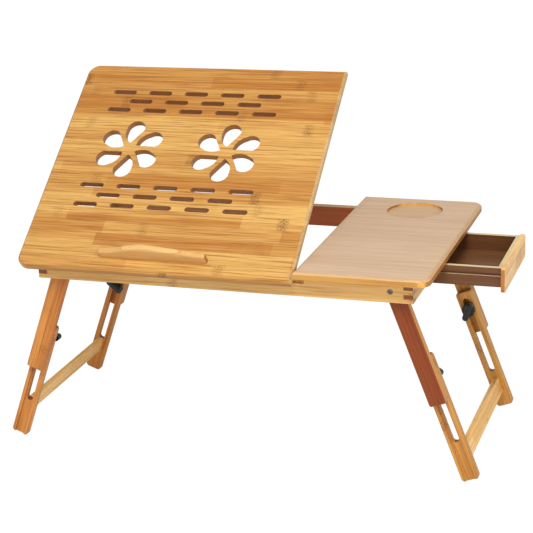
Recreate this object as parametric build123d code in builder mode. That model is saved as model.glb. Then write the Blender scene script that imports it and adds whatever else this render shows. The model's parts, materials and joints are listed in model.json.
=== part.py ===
from build123d import *
import os
from math import cos, radians, sin, tan

os.makedirs("parts", exist_ok=True)

# ---------------------------------------------------------------- boards
DEPTH = 345
BOARD_T = 9
SIDE_W = 169
TILT_W = 372
BOARD_GAP = 1.5
TILT_SETBACK = 1.6
TILT_LIFT = 0.25
TILT_ANGLE = 36.9
CORNER_R = 16
TOP_BEVEL = 2.6
SKIN_T = 0.8
SKIN_INSET = 4.2
CUP_R = 37.75
CUP_DEPTH = 3.2
CUP_X = 85.6
CUP_FROM_BACK = 57

# ---------------------------------------------------------------- frame
RAIL_T = 12
RAIL_H = 28
FRAME_LEFT = 351
FRAME_RIGHT = 146
OVERHANG = 20
FINGERS = 5
CENTRE_RAIL_X = 3
CENTRE_RAIL_PAST = 18.6
REBATE_D = 4
REBATE_H = 11.5
REBATE_PAST = 1.5
REBATE_START = 24
CUTTER_R = 12

# ---------------------------------------------------------------- legs
LEAN = 20.4
PIVOT_INSET = 28.5
PIVOT_DROP = 23
LEG_W = 23
LEG_T = 12
LEG_SIDE_GAP = 0.5
SLIDE_GAP = 0.2
UPPER_REACH = 159
UPPER_END_R = 3
LOWER_TOP = 96.3
LEG_REACH = 269
FOOT_R = 4.5
ARRIS = 2.5
GROOVE_W = 13
GROOVE_D = 4
TONGUE_TOP = 100
SLOT_W = 9
SLOT_TOP = 106
SLOT_END = 216.3
STOP_GAP = 0.2
STRETCHER_LEFT = 226
STRETCHER_RIGHT = 238
STRETCHER_W = 22
STRETCHER_T = 9
TENON_L = 6
TENON_W = 16
TENON_T = 5
JOINT_GAP = 0.1

# ---------------------------------------------------------------- leg hardware
PIVOT_BOLT_R = 2.5
PIVOT_RUN = 0.05
PIVOT_HEAD_R = 5.5
PIVOT_HEAD_T = 2
NUT_R = 3.4
NUT_RECESS_R = 3.6
NUT_RECESS_D = 4
NUT_STEP = 0.6
NUT_HEX_R = 2
NUT_HEX_D = 1.5
BOLT_IN_NUT = 1.6
CLAMP_AT = 122
CLAMP_R = 3
CLAMP_IN = 8
STUD_SHORT = 1
WASHER_R = 7
WASHER_T = 1.2
KNOB_DISC_R = 9
KNOB_DISC_H = 5
KNOB_EDGE_R = 1
KNOB_SPAN = 26.6
KNOB_W = 8.5
KNOB_H = 14
WING_R = 2.5
WING_TURN_LEFT = 70
WING_TURN_RIGHT = -38
HEAD_GAP = 0.2
INSERT_R = 4.2
INSERT_L = 8

# ---------------------------------------------------------------- drawer
DRAWER_OUT = 91
DRAWER_W = 139
DRAWER_L = 126
DRAWER_TOP = 12.5
DRAWER_H = 24.7
WALL_T = 6.5
END_T = 5
PANEL_W = 150.5
PANEL_T = 5.5
PANEL_TOP = 10.6
PANEL_H = 33
PANEL_R = 6
PANEL_GAP = 0.5
PANEL_EDGE_R = 2
PANEL_SCREWS = (-40, 40)
PANEL_SCREW_IN = 3
FLOOR_T = 3
FLOOR_LIFT = 1.2
FLOOR_IN = 2
RUNNER_T = 8
RUNNER_GAP = 0.4
RUNNER_H = 25
TONGUE_D = 2.8
TONGUE_ROOT = 1
TONGUE_H = 3
RUN_GROOVE_H = 3.6
RUN_GROOVE_D = 3.2
TONGUE_DROP = 21.5

# ---------------------------------------------------------------- vents
LONG_ROWS = (294, 263, 133.3, 101.5)
LONG_ROW_START = 50.5
LONG_ROW_COUNT = 5
SHORT_ROWS = (278.5, 117.5)
SHORT_ROW_START = 78
SHORT_ROW_COUNT = 4
SLOT_PITCH = 52
VENT_L = 33.5
VENT_W = 7.2
FLOWER_V = 196.2
FLOWER_U_LEFT = 101.8
FLOWER_U_RIGHT = 238.5
FLOWER_EYE = 10
FLOWER_PETALS = 6
FLOWER_TURN = 30
PETAL_ROOT = (0, 1)
PETAL_LEFT_BULGE = (9, 10)
PETAL_LEFT = (23, 12.5)
PETAL_TIP = (37.5, -0.5)
PETAL_RIGHT = (23, -13)
PETAL_RIGHT_BULGE = (12, -6.5)

# ---------------------------------------------------------------- book stop
STOP_LEFT = 113
STOP_L = 146
STOP_V = 19.5
STOP_T = 8
STOP_LEFT_H = 12
STOP_RIGHT_H = 14
# the wavy top edge, from its right end to its left
STOP_WAVE = (
    (STOP_L, STOP_RIGHT_H),
    (116, 17.675),
    (87, 21.56),
    (60, 24),
    (39, 19.56),
    (19, 13.26),
    (0, STOP_LEFT_H),
)
STOP_EDGE_R = 3
STOP_SCREWS = (25, 121)
STOP_SCREW_R = 1.5
STOP_SCREW_IN = 8

# ---------------------------------------------------------------- hinges and prop
HINGE_DROP = 11
HINGE_R = 2
HINGE_PIN_R = 0.9
HINGE_RUN = 0.05
HINGE_L = 50
HINGE_KNUCKLES = 5
KNUCKLE_GAP = 0.2
LEAF_T = 1.2
LEAF_RAIL_H = 7
LEAF_LIP = 0.25
LEAF_BOARD_L = 15
HINGE_LEFT = 275
HINGE_RIGHT = 100
HINGE_RELIEF = 0.6
RELIEF_END_GAP = 1
RELIEF_SIDE_GAP = 0.5
BOARD_SCREW_V = 10.5
SCREW_R = 1.3
SCREW_L = 6
SCREW_HEAD_R = 2.6
SCREW_HEAD_T = 1.2
SCREW_SLOT = 0.6
LEAF_SCREW = 3.8
RACK_DOWEL_START = 20.5
RACK_DOWEL_PITCH = 44
RACK_DOWEL_R = 3
RACK_DOWEL_IN = 8
RACK_DOWEL_L = 24
RACK_DOWEL_DROP = 2
ARM_L = 80
ARM_R = 2.5
ROD_R = 3
PROP_DROP = 3.8
ARM_LEFT = 316
ARM_RIGHT = 276
EAR_OUT = 7
EAR_T = 1.5
EAR_W = 7.4
FOOT_L = 12
FOOT_SCREW = 14.5
ROD_LEFT = 337
ROD_RIGHT = 268
ROD_CLEAR = 0.3
RACK_T = 68
RACK_L = 86
RACK_H = 14
RACK_START = 94
NOTCH_R = 3.2
NOTCH_ANGLES = (20, 30, TILT_ANGLE, 45, 50)

# ---------------------------------------------------------------- sides and ends
LEFT = -1
RIGHT = 1
FRONT = -1
BACK = 1

# ---------------------------------------------------------------- positions
lean = radians(LEAN)
tilt = radians(TILT_ANGLE)
foot_drop = (LEG_REACH - FOOT_R) * cos(lean) + (LEG_W / 2 - FOOT_R) * sin(lean) + FOOT_R
foot_out = (LEG_REACH - FOOT_R) * sin(lean) + (LEG_W / 2 - FOOT_R) * cos(lean) + FOOT_R
z_pivot = foot_drop
z_top = z_pivot + PIVOT_DROP
z_rail_top = z_top - BOARD_T
z_rail_low = z_rail_top - RAIL_H
panel_out = FRAME_RIGHT + PANEL_GAP + DRAWER_OUT + PANEL_T
x_side = (FRAME_LEFT - PIVOT_INSET + foot_out - panel_out) / 2
y_front = -DEPTH / 2
y_back = DEPTH / 2
x_left = x_side - FRAME_LEFT
x_right = x_side + FRAME_RIGHT
y_rail = y_front + OVERHANG
y_rail_back = y_back - OVERHANG
x_pivot_left = x_left + PIVOT_INSET
x_pivot_right = x_right - PIVOT_INSET
x_tilt = x_side - BOARD_GAP - TILT_W
y_axis = y_rail
z_axis = z_top - HINGE_DROP
tilt_t = BOARD_T - TILT_LIFT
y_rack = y_axis + RACK_START
y_rack_end = y_rack + RACK_L
z_rack_low = z_rail_top - RAIL_H / 2 - RACK_H / 2
drawer_gap = DRAWER_W / 2 + RUNNER_GAP
leaf_screws = (-HINGE_L / 3, 0, HINGE_L / 3)
board_leaf_t = HINGE_DROP - tilt_t - HINGE_R + LEAF_T
prop_slope = (PROP_DROP + BOARD_T - HINGE_DROP - TILT_LIFT) / ARM_L


def leg_plane(x_pivot, lean_way, y_face, inward):
    return Plane(
        origin=(x_pivot, y_face, z_pivot),
        x_dir=(lean_way * sin(lean), 0, -cos(lean)),
        z_dir=(0, inward, 0),
    )


def board_plane(u, v, w):
    along = (0, cos(tilt), sin(tilt))
    out = (0, -sin(tilt), cos(tilt))
    dy = TILT_SETBACK - OVERHANG + v
    dz = HINGE_DROP + w
    return Plane(
        origin=(x_tilt + u, y_axis + dy * along[1] + dz * out[1], z_axis + dy * along[2] + dz * out[2]),
        x_dir=(1, 0, 0),
        z_dir=out,
    )


board_top = board_plane(0, 0, 0)
board_under = board_plane(0, 0, -tilt_t)
tilt_depth = DEPTH - TILT_SETBACK


# ---------------------------------------------------------------- frame rails
def finger_block(x, y, x_len, y_len, levels):
    with BuildPart(mode=Mode.PRIVATE) as block:
        step = RAIL_H / FINGERS
        for level in levels:
            with BuildSketch(Plane.XY.offset(z_rail_low + level * step)):
                with Locations((x, y)):
                    Rectangle(x_len, y_len, align=(Align.MIN, Align.MIN))
            extrude(amount=step)
    return block.part


rail_l = x_right - x_left
odd_fingers = (0, 2, 4)
even_fingers = (1, 3)


def long_rail(y, face_y, inward):
    with BuildPart(mode=Mode.PRIVATE) as rail:
        with BuildSketch(Plane.XY.offset(z_rail_low)):
            with Locations((x_left, y)):
                Rectangle(rail_l, RAIL_T, align=(Align.MIN, Align.MIN))
        extrude(amount=RAIL_H)
        add(finger_block(x_left, y, RAIL_T, RAIL_T, even_fingers), mode=Mode.SUBTRACT)
        add(finger_block(x_right - RAIL_T, y, RAIL_T, RAIL_T, even_fingers), mode=Mode.SUBTRACT)
        for x in (x_pivot_left, x_pivot_right):
            with BuildSketch(Plane(origin=(x, face_y, z_pivot), x_dir=(1, 0, 0), z_dir=(0, inward, 0))):
                Circle(NUT_RECESS_R)
            extrude(amount=NUT_RECESS_D, mode=Mode.SUBTRACT)
            with BuildSketch(Plane(origin=(x, face_y, z_pivot), x_dir=(1, 0, 0), z_dir=(0, inward, 0))):
                Circle(PIVOT_BOLT_R)
            extrude(amount=RAIL_T, mode=Mode.SUBTRACT)
    return rail.part


def rail_screw_seats():
    seats = []
    y_seat = y_rail + REBATE_D - LEAF_T
    for hinge_x in (HINGE_LEFT, HINGE_RIGHT):
        for x_off in leaf_screws:
            seats.append(
                Plane(
                    origin=(x_side - hinge_x + x_off, y_seat, z_axis - HINGE_R - LEAF_SCREW),
                    x_dir=(1, 0, 0),
                    z_dir=(0, -1, 0),
                )
            )
    return seats


with BuildPart() as rack_dowels:
    x_dowel = x_left + RAIL_T - RACK_DOWEL_IN
    z_dowel = z_rail_top - RAIL_H / 2 - RACK_DOWEL_DROP
    with BuildSketch(Plane(origin=(x_dowel, y_rack, z_dowel), x_dir=(0, 1, 0), z_dir=(1, 0, 0))):
        for u in (RACK_DOWEL_START, RACK_DOWEL_START + RACK_DOWEL_PITCH):
            with Locations((u, 0)):
                Circle(RACK_DOWEL_R)
    extrude(amount=RACK_DOWEL_L)

with BuildPart() as front_rail:
    add(long_rail(y_rail, y_rail, 1))
    x_cut_start = x_left + RAIL_T + REBATE_START + CUTTER_R
    x_cut_end = x_tilt + TILT_W + REBATE_PAST
    with BuildSketch(Plane.XY.offset(z_rail_top - REBATE_H)):
        for x in (x_cut_start, x_cut_end):
            with Locations((x, y_rail - CUTTER_R + REBATE_D)):
                Circle(CUTTER_R)
        with Locations((x_cut_start, y_rail + REBATE_D)):
            Rectangle(x_cut_end - x_cut_start, CUTTER_R, align=(Align.MIN, Align.MAX))
    extrude(amount=REBATE_H, mode=Mode.SUBTRACT)
    for seat in rail_screw_seats():
        with BuildSketch(seat):
            Circle(SCREW_R)
        extrude(amount=-SCREW_L, mode=Mode.SUBTRACT)

with BuildPart() as back_rail:
    add(long_rail(y_rail_back - RAIL_T, y_rail_back, -1))


def side_rail(x, y_low, y_high, stop_x, stop_way):
    with BuildPart(mode=Mode.PRIVATE) as rail:
        with BuildSketch(Plane.XY.offset(z_rail_low)):
            with Locations((x, y_low)):
                Rectangle(RAIL_T, y_high - y_low, align=(Align.MIN, Align.MIN))
        extrude(amount=RAIL_H)
        # the inner bottom edge is cut to the slope of the leg that rests on it
        reach = LEG_W / 2 + STOP_GAP
        low_x = stop_x + stop_way * (reach / cos(lean) + (z_pivot - z_rail_low) * tan(lean))
        inner_x = x if stop_way > 0 else x + RAIL_T
        rise = abs(low_x - inner_x) / tan(lean)
        with BuildSketch(Plane(origin=(0, y_low, 0), x_dir=(1, 0, 0), z_dir=(0, -1, 0))):
            with BuildLine():
                Polyline(
                    (inner_x, z_rail_low),
                    (low_x, z_rail_low),
                    (inner_x, z_rail_low + rise),
                    close=True,
                )
            make_face()
        extrude(amount=-(y_high - y_low), mode=Mode.SUBTRACT)
    return rail.part


with BuildPart() as left_side_rail:
    add(side_rail(x_left, y_rail, y_rail_back, x_pivot_left, -1))
    add(finger_block(x_left, y_rail, RAIL_T, RAIL_T, odd_fingers), mode=Mode.SUBTRACT)
    add(finger_block(x_left, y_rail_back - RAIL_T, RAIL_T, RAIL_T, odd_fingers), mode=Mode.SUBTRACT)
    add(rack_dowels.part, mode=Mode.SUBTRACT)

with BuildPart() as right_side_rail_front:
    add(side_rail(x_right - RAIL_T, y_rail, -drawer_gap, x_pivot_right, 1))
    add(finger_block(x_right - RAIL_T, y_rail, RAIL_T, RAIL_T, odd_fingers), mode=Mode.SUBTRACT)

with BuildPart() as right_side_rail_rear:
    add(side_rail(x_right - RAIL_T, drawer_gap, y_rail_back, x_pivot_right, 1))
    add(
        finger_block(x_right - RAIL_T, y_rail_back - RAIL_T, RAIL_T, RAIL_T, odd_fingers),
        mode=Mode.SUBTRACT,
    )

with BuildPart() as centre_rail:
    centre_rail_l = 2 * (drawer_gap + RUNNER_T + CENTRE_RAIL_PAST)
    with BuildSketch(Plane.XY.offset(z_rail_low)):
        with Locations((x_side + CENTRE_RAIL_X, 0)):
            Rectangle(RAIL_T, centre_rail_l, align=(Align.MIN, Align.CENTER))
    extrude(amount=RAIL_H)


def drawer_runner(way):
    with BuildPart(mode=Mode.PRIVATE) as runner:
        x_start = x_side + CENTRE_RAIL_X + RAIL_T
        run_l = x_right - RAIL_T - x_start
        with BuildSketch(Plane.XY.offset(z_rail_top - RUNNER_H)):
            with Locations((x_start + run_l / 2, way * (drawer_gap + RUNNER_T / 2))):
                Rectangle(run_l, RUNNER_T)
        extrude(amount=RUNNER_H)
        with BuildSketch(Plane.XY.offset(z_top - TONGUE_DROP - TONGUE_H / 2)):
            with Locations((x_start + run_l / 2, way * (drawer_gap - TONGUE_D / 2 + TONGUE_ROOT / 2))):
                Rectangle(run_l, TONGUE_D + TONGUE_ROOT)
        extrude(amount=TONGUE_H)
    return runner.part


with BuildPart() as front_drawer_runner:
    add(drawer_runner(FRONT))

with BuildPart() as rear_drawer_runner:
    add(drawer_runner(BACK))

# ---------------------------------------------------------------- side board
with BuildPart() as side_board:
    with BuildSketch(Plane.XY.offset(z_rail_top)):
        with Locations((x_side + SIDE_W / 2, 0)):
            board_outline = Rectangle(SIDE_W, DEPTH)
        fillet(board_outline.vertices().group_by(Axis.X)[-1], CORNER_R)
    extrude(amount=BOARD_T)
    chamfer(side_board.faces().sort_by(Axis.Z)[-1].edges(), TOP_BEVEL)
    with BuildSketch(Plane.XY.offset(z_top)):
        with Locations((x_side + SIDE_W / 2, 0)):
            skin_bed = Rectangle(SIDE_W - 2 * SKIN_INSET, DEPTH - 2 * SKIN_INSET)
        fillet(skin_bed.vertices().group_by(Axis.X)[-1], CORNER_R - SKIN_INSET)
    extrude(amount=-SKIN_T, mode=Mode.SUBTRACT)
    with BuildSketch(Plane.XY.offset(z_top)):
        with Locations((x_side + CUP_X, y_back - CUP_FROM_BACK)):
            Circle(CUP_R)
    extrude(amount=-CUP_DEPTH, mode=Mode.SUBTRACT)

with BuildPart() as side_board_skin:
    with BuildSketch(Plane.XY.offset(z_top - SKIN_T)):
        with Locations((x_side + SIDE_W / 2, 0)):
            skin_edge = Rectangle(SIDE_W - 2 * SKIN_INSET, DEPTH - 2 * SKIN_INSET)
        fillet(skin_edge.vertices().group_by(Axis.X)[-1], CORNER_R - SKIN_INSET)
        with Locations((x_side + CUP_X, y_back - CUP_FROM_BACK)):
            Circle(CUP_R, mode=Mode.SUBTRACT)
    extrude(amount=SKIN_T)


# ---------------------------------------------------------------- notch rack
def rod_height(y):
    return z_axis - (y - y_axis) * prop_slope


with BuildPart() as notch_rack:
    crest = ROD_R + ROD_CLEAR
    with BuildSketch(Plane(origin=(x_left + RAIL_T, 0, 0), x_dir=(0, 1, 0), z_dir=(1, 0, 0))):
        with BuildLine():
            Polyline(
                (y_rack, rod_height(y_rack) - crest),
                (y_rack_end, rod_height(y_rack_end) - crest),
                (y_rack_end, z_rack_low),
                (y_rack, z_rack_low),
                close=True,
            )
        make_face()
        for angle in NOTCH_ANGLES:
            y_notch = y_axis + 2 * ARM_L * cos(radians(angle))
            with Locations((y_notch, rod_height(y_notch) - crest)):
                Circle(NOTCH_R, mode=Mode.SUBTRACT)
    extrude(amount=RACK_T)
    add(rack_dowels.part, mode=Mode.SUBTRACT)


# ---------------------------------------------------------------- prop
prop_v = OVERHANG - TILT_SETBACK + ARM_L * cos(prop_slope)
prop_w = -HINGE_DROP - ARM_L * sin(prop_slope)
prop_pin = board_plane(0, prop_v, prop_w).origin
rod_run = 2 * ARM_L * cos(tilt)
rod_pin = Vector(0, y_axis + rod_run * cos(prop_slope), z_axis - rod_run * sin(prop_slope))
arm_way = Vector(0, rod_pin.Y - prop_pin.Y, rod_pin.Z - prop_pin.Z)


def cross_plane(x, pin):
    return Plane(origin=(x, pin.Y, pin.Z), x_dir=(0, 1, 0), z_dir=(1, 0, 0))


with BuildPart() as tilt_prop:
    with BuildSketch(cross_plane(x_side - ROD_LEFT, rod_pin)):
        Circle(ROD_R)
    extrude(amount=ROD_LEFT - ROD_RIGHT)
    for arm_x in (ARM_LEFT, ARM_RIGHT):
        arm_plane = Plane(origin=(x_side - arm_x, prop_pin.Y, prop_pin.Z), x_dir=(1, 0, 0), z_dir=arm_way)
        with BuildSketch(arm_plane):
            Circle(ARM_R)
        extrude(amount=ARM_L)
        with BuildSketch(cross_plane(x_side - arm_x - EAR_OUT - EAR_T, prop_pin)):
            Circle(ARM_R)
        extrude(amount=2 * (EAR_OUT + EAR_T))


# ---------------------------------------------------------------- tilting board
board_normal = Axis(board_top.origin, board_top.z_dir)

with BuildSketch() as petal:
    with BuildLine():
        ThreePointArc(PETAL_ROOT, PETAL_LEFT_BULGE, PETAL_LEFT)
        ThreePointArc(PETAL_LEFT, PETAL_TIP, PETAL_RIGHT)
        ThreePointArc(PETAL_RIGHT, PETAL_RIGHT_BULGE, PETAL_ROOT)
    make_face()

with BuildPart() as tilt_board:
    with BuildSketch(board_under):
        with Locations((TILT_W / 2, tilt_depth / 2)):
            tilt_edge = Rectangle(TILT_W, tilt_depth)
        fillet(tilt_edge.vertices().group_by(Axis.X)[0], CORNER_R)
    extrude(amount=tilt_t)
    chamfer(tilt_board.faces().sort_by(board_normal)[-1].edges(), TOP_BEVEL)
    with BuildSketch(board_under):
        for v in LONG_ROWS:
            for step in range(LONG_ROW_COUNT):
                with Locations((LONG_ROW_START + VENT_L / 2 + step * SLOT_PITCH, v)):
                    SlotOverall(VENT_L, VENT_W)
        for v in SHORT_ROWS:
            for step in range(SHORT_ROW_COUNT):
                with Locations((SHORT_ROW_START + VENT_L / 2 + step * SLOT_PITCH, v)):
                    SlotOverall(VENT_L, VENT_W)
        for u_flower in (FLOWER_U_LEFT, FLOWER_U_RIGHT):
            with Locations((u_flower, FLOWER_V)):
                with PolarLocations(FLOWER_EYE, FLOWER_PETALS, start_angle=FLOWER_TURN):
                    add(petal.sketch)
    extrude(amount=tilt_t, mode=Mode.SUBTRACT)
    with BuildSketch(board_under):
        for hinge_x in (HINGE_LEFT, HINGE_RIGHT):
            with Locations((x_side - hinge_x - x_tilt, OVERHANG - TILT_SETBACK)):
                Rectangle(HINGE_L + 2 * RELIEF_END_GAP, 2 * (HINGE_R + RELIEF_SIDE_GAP))
    extrude(amount=HINGE_RELIEF, mode=Mode.SUBTRACT)
    for hinge_x in (HINGE_LEFT, HINGE_RIGHT):
        for x_off in leaf_screws:
            with BuildSketch(board_plane(x_side - hinge_x - x_tilt + x_off, BOARD_SCREW_V, -tilt_t)):
                Circle(SCREW_R)
            extrude(amount=SCREW_L, mode=Mode.SUBTRACT)
    for arm_x in (ARM_LEFT, ARM_RIGHT):
        for way in (-1, 1):
            with BuildSketch(board_plane(x_side - arm_x - x_tilt + way * FOOT_SCREW, prop_v, -tilt_t)):
                Circle(SCREW_R)
            extrude(amount=SCREW_L, mode=Mode.SUBTRACT)
    for u in STOP_SCREWS:
        with BuildSketch(board_plane(STOP_LEFT + u, STOP_V + STOP_T / 2, -tilt_t)):
            Circle(STOP_SCREW_R)
        extrude(amount=tilt_t, mode=Mode.SUBTRACT)
        with BuildSketch(board_plane(STOP_LEFT + u, STOP_V + STOP_T / 2, -tilt_t)):
            Circle(SCREW_HEAD_R)
        extrude(amount=SCREW_HEAD_T, mode=Mode.SUBTRACT)

with BuildPart() as book_stop:
    with BuildSketch(board_plane(STOP_LEFT, STOP_V, 0).rotated((90, 0, 0))):
        with BuildLine():
            Polyline((0, STOP_LEFT_H), (0, 0), (STOP_L, 0), (STOP_L, STOP_RIGHT_H))
            Spline(*STOP_WAVE)
        make_face()
    extrude(amount=-STOP_T)
    fillet(
        book_stop.edges().filter_by(
            lambda edge: board_top.to_local_coords(edge.center()).Z > STOP_EDGE_R
        ),
        STOP_EDGE_R,
    )
    for u in STOP_SCREWS:
        with BuildSketch(board_plane(STOP_LEFT + u, STOP_V + STOP_T / 2, 0)):
            Circle(STOP_SCREW_R)
        extrude(amount=STOP_SCREW_IN, mode=Mode.SUBTRACT)

# ---------------------------------------------------------------- hinges
knuckle_l = HINGE_L / HINGE_KNUCKLES
hinge_left_x = x_side - HINGE_LEFT
hinge_right_x = x_side - HINGE_RIGHT


def knuckle_tube(plane, length):
    with BuildPart(mode=Mode.PRIVATE) as tube:
        with BuildSketch(plane):
            Circle(HINGE_R)
            Circle(HINGE_PIN_R + HINGE_RUN, mode=Mode.SUBTRACT)
        extrude(amount=length)
    return tube.part


def axis_plane(x):
    return Plane(origin=(x, y_axis, z_axis), x_dir=(0, 1, 0), z_dir=(1, 0, 0))


def rail_leaf(x_mid):
    x_start = x_mid - HINGE_L / 2
    y_face = y_rail + REBATE_D
    with BuildPart(mode=Mode.PRIVATE) as leaf:
        with BuildSketch(Plane(origin=(x_start, 0, 0), x_dir=(0, 1, 0), z_dir=(1, 0, 0))):
            with BuildLine():
                Polyline(
                    (y_axis, z_axis - HINGE_R),
                    (y_axis, z_axis - HINGE_R + LEAF_T - LEAF_LIP),
                    (y_face - LEAF_T, z_axis - HINGE_R + LEAF_T),
                    (y_face, z_axis - HINGE_R + LEAF_T),
                    (y_face, z_axis - HINGE_R - LEAF_RAIL_H),
                    (y_face - LEAF_T, z_axis - HINGE_R - LEAF_RAIL_H),
                    (y_face - LEAF_T, z_axis - HINGE_R),
                    close=True,
                )
            make_face()
        extrude(amount=HINGE_L)
        for seat in rail_screw_seats():
            with BuildSketch(seat):
                Circle(SCREW_R)
            extrude(amount=-LEAF_T, mode=Mode.SUBTRACT)
        for number in range(1, HINGE_KNUCKLES, 2):
            with BuildSketch(axis_plane(x_start + number * knuckle_l)):
                Circle(HINGE_R + KNUCKLE_GAP)
            extrude(amount=knuckle_l, mode=Mode.SUBTRACT)
        for number in range(0, HINGE_KNUCKLES, 2):
            low = KNUCKLE_GAP / 2 if number > 0 else 0
            high = KNUCKLE_GAP / 2 if number < HINGE_KNUCKLES - 1 else 0
            with BuildSketch(axis_plane(x_start + number * knuckle_l)):
                Circle(HINGE_PIN_R + HINGE_RUN)
            extrude(amount=knuckle_l, mode=Mode.SUBTRACT)
            add(knuckle_tube(axis_plane(x_start + number * knuckle_l + low), knuckle_l - low - high))
    return leaf.part


def board_leaf(x_mid):
    u_start = x_mid - HINGE_L / 2 - x_tilt
    v_axis = OVERHANG - TILT_SETBACK
    w_axis = -HINGE_DROP
    profile = board_plane(u_start, v_axis, w_axis)
    side = Plane(origin=profile.origin, x_dir=(0, cos(tilt), sin(tilt)), z_dir=(1, 0, 0))
    w_under = HINGE_DROP - tilt_t
    with BuildPart(mode=Mode.PRIVATE) as leaf:
        with BuildSketch(side):
            with Locations((0, w_under)):
                Rectangle(LEAF_BOARD_L, board_leaf_t, align=(Align.MAX, Align.MAX))
        extrude(amount=HINGE_L)
        for x_off in leaf_screws:
            with BuildSketch(board_plane(u_start + HINGE_L / 2 + x_off, BOARD_SCREW_V, -tilt_t)):
                Circle(SCREW_R)
            extrude(amount=-board_leaf_t, mode=Mode.SUBTRACT)
        for number in range(0, HINGE_KNUCKLES, 2):
            with BuildSketch(side.offset(number * knuckle_l)):
                Circle(HINGE_R + KNUCKLE_GAP)
            extrude(amount=knuckle_l, mode=Mode.SUBTRACT)
        for number in range(1, HINGE_KNUCKLES, 2):
            with BuildSketch(side.offset(number * knuckle_l)):
                Circle(HINGE_PIN_R + HINGE_RUN)
            extrude(amount=knuckle_l, mode=Mode.SUBTRACT)
            add(knuckle_tube(side.offset(number * knuckle_l + KNUCKLE_GAP / 2), knuckle_l - KNUCKLE_GAP))
    return leaf.part


with BuildPart() as hinge_rail_leaves:
    add(rail_leaf(hinge_left_x))
    add(rail_leaf(hinge_right_x))

with BuildPart() as hinge_board_leaves:
    add(board_leaf(hinge_left_x))
    add(board_leaf(hinge_right_x))

with BuildPart() as hinge_pins:
    for x_mid in (hinge_left_x, hinge_right_x):
        with BuildSketch(axis_plane(x_mid - HINGE_L / 2)):
            Circle(HINGE_PIN_R)
        extrude(amount=HINGE_L)


def prop_bracket(arm_x, way):
    foot = board_plane(x_side - arm_x - x_tilt + way * EAR_OUT, prop_v, -tilt_t)
    with BuildPart(mode=Mode.PRIVATE) as bracket:
        with BuildSketch(foot):
            with Locations((way * FOOT_L / 2, 0)):
                Rectangle(FOOT_L, EAR_W)
        extrude(amount=-EAR_T)
        with BuildSketch(foot):
            with Locations((way * EAR_T / 2, 0)):
                Rectangle(EAR_T, EAR_W)
        extrude(amount=-PROP_DROP)
        with BuildSketch(cross_plane(foot.origin.X, prop_pin)):
            Circle(EAR_W / 2)
        extrude(amount=way * EAR_T)
        with BuildSketch(cross_plane(foot.origin.X, prop_pin)):
            Circle(ARM_R + HINGE_RUN)
        extrude(amount=way * EAR_T, mode=Mode.SUBTRACT)
        with BuildSketch(board_plane(x_side - arm_x - x_tilt + way * FOOT_SCREW, prop_v, -tilt_t)):
            Circle(SCREW_R)
        extrude(amount=-EAR_T, mode=Mode.SUBTRACT)
    return bracket.part


with BuildPart() as prop_brackets:
    for arm_x in (ARM_LEFT, ARM_RIGHT):
        add(prop_bracket(arm_x, -1))
        add(prop_bracket(arm_x, 1))


# ---------------------------------------------------------------- screws
def wood_screw(head_face):
    # head_face looks out of the head; the shank runs the other way
    with BuildPart(mode=Mode.PRIVATE) as screw:
        with BuildSketch(head_face):
            Circle(SCREW_HEAD_R)
        extrude(amount=SCREW_HEAD_T)
        with BuildSketch(head_face):
            Circle(SCREW_R)
        extrude(amount=-SCREW_L)
        with BuildSketch(head_face.offset(SCREW_HEAD_T)):
            Rectangle(2 * SCREW_HEAD_R, SCREW_SLOT)
        extrude(amount=-SCREW_SLOT, mode=Mode.SUBTRACT)
    return screw.part


def flipped(plane):
    return Plane(origin=plane.origin, x_dir=plane.x_dir, z_dir=-plane.z_dir)


with BuildPart() as hinge_board_screws:
    for hinge_x in (HINGE_LEFT, HINGE_RIGHT):
        for x_off in leaf_screws:
            seat = board_plane(x_side - hinge_x - x_tilt + x_off, BOARD_SCREW_V, -tilt_t)
            add(wood_screw(flipped(seat).offset(board_leaf_t)))

with BuildPart() as hinge_rail_screws:
    for seat in rail_screw_seats():
        add(wood_screw(seat))

with BuildPart() as prop_bracket_screws:
    for arm_x in (ARM_LEFT, ARM_RIGHT):
        for way in (-1, 1):
            seat = board_plane(x_side - arm_x - x_tilt + way * FOOT_SCREW, prop_v, -tilt_t)
            add(wood_screw(flipped(seat).offset(EAR_T)))

with BuildPart() as book_stop_screws:
    for u in STOP_SCREWS:
        seat = board_plane(STOP_LEFT + u, STOP_V + STOP_T / 2, -tilt_t)
        with BuildSketch(seat):
            Circle(SCREW_HEAD_R)
        extrude(amount=SCREW_HEAD_T)
        with BuildSketch(seat):
            Circle(STOP_SCREW_R)
        extrude(amount=tilt_t + STOP_SCREW_IN)
        with BuildSketch(seat):
            Rectangle(2 * SCREW_HEAD_R, SCREW_SLOT)
        extrude(amount=SCREW_SLOT, mode=Mode.SUBTRACT)


# ---------------------------------------------------------------- drawer
def panel_plane(x, y, z, way):
    return Plane(origin=(x, y, z), x_dir=(0, 1, 0), z_dir=(way, 0, 0))


x_panel = x_right + PANEL_GAP + DRAWER_OUT
z_box_top = z_top - DRAWER_TOP
z_box_low = z_box_top - DRAWER_H
x_box = x_panel - DRAWER_L
z_floor = z_box_low + FLOOR_LIFT
inner_w = DRAWER_W - 2 * WALL_T

with BuildPart() as drawer_front_panel:
    with BuildSketch(panel_plane(x_panel, 0, z_top - PANEL_TOP - PANEL_H / 2, 1)):
        RectangleRounded(PANEL_W, PANEL_H, PANEL_R)
    extrude(amount=PANEL_T)
    fillet(drawer_front_panel.faces().sort_by(Axis.X)[-1].edges(), PANEL_EDGE_R)
    for y in PANEL_SCREWS:
        with BuildSketch(panel_plane(x_panel, y, z_box_top - DRAWER_H / 2, 1)):
            Circle(SCREW_R)
        extrude(amount=PANEL_SCREW_IN, mode=Mode.SUBTRACT)


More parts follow.
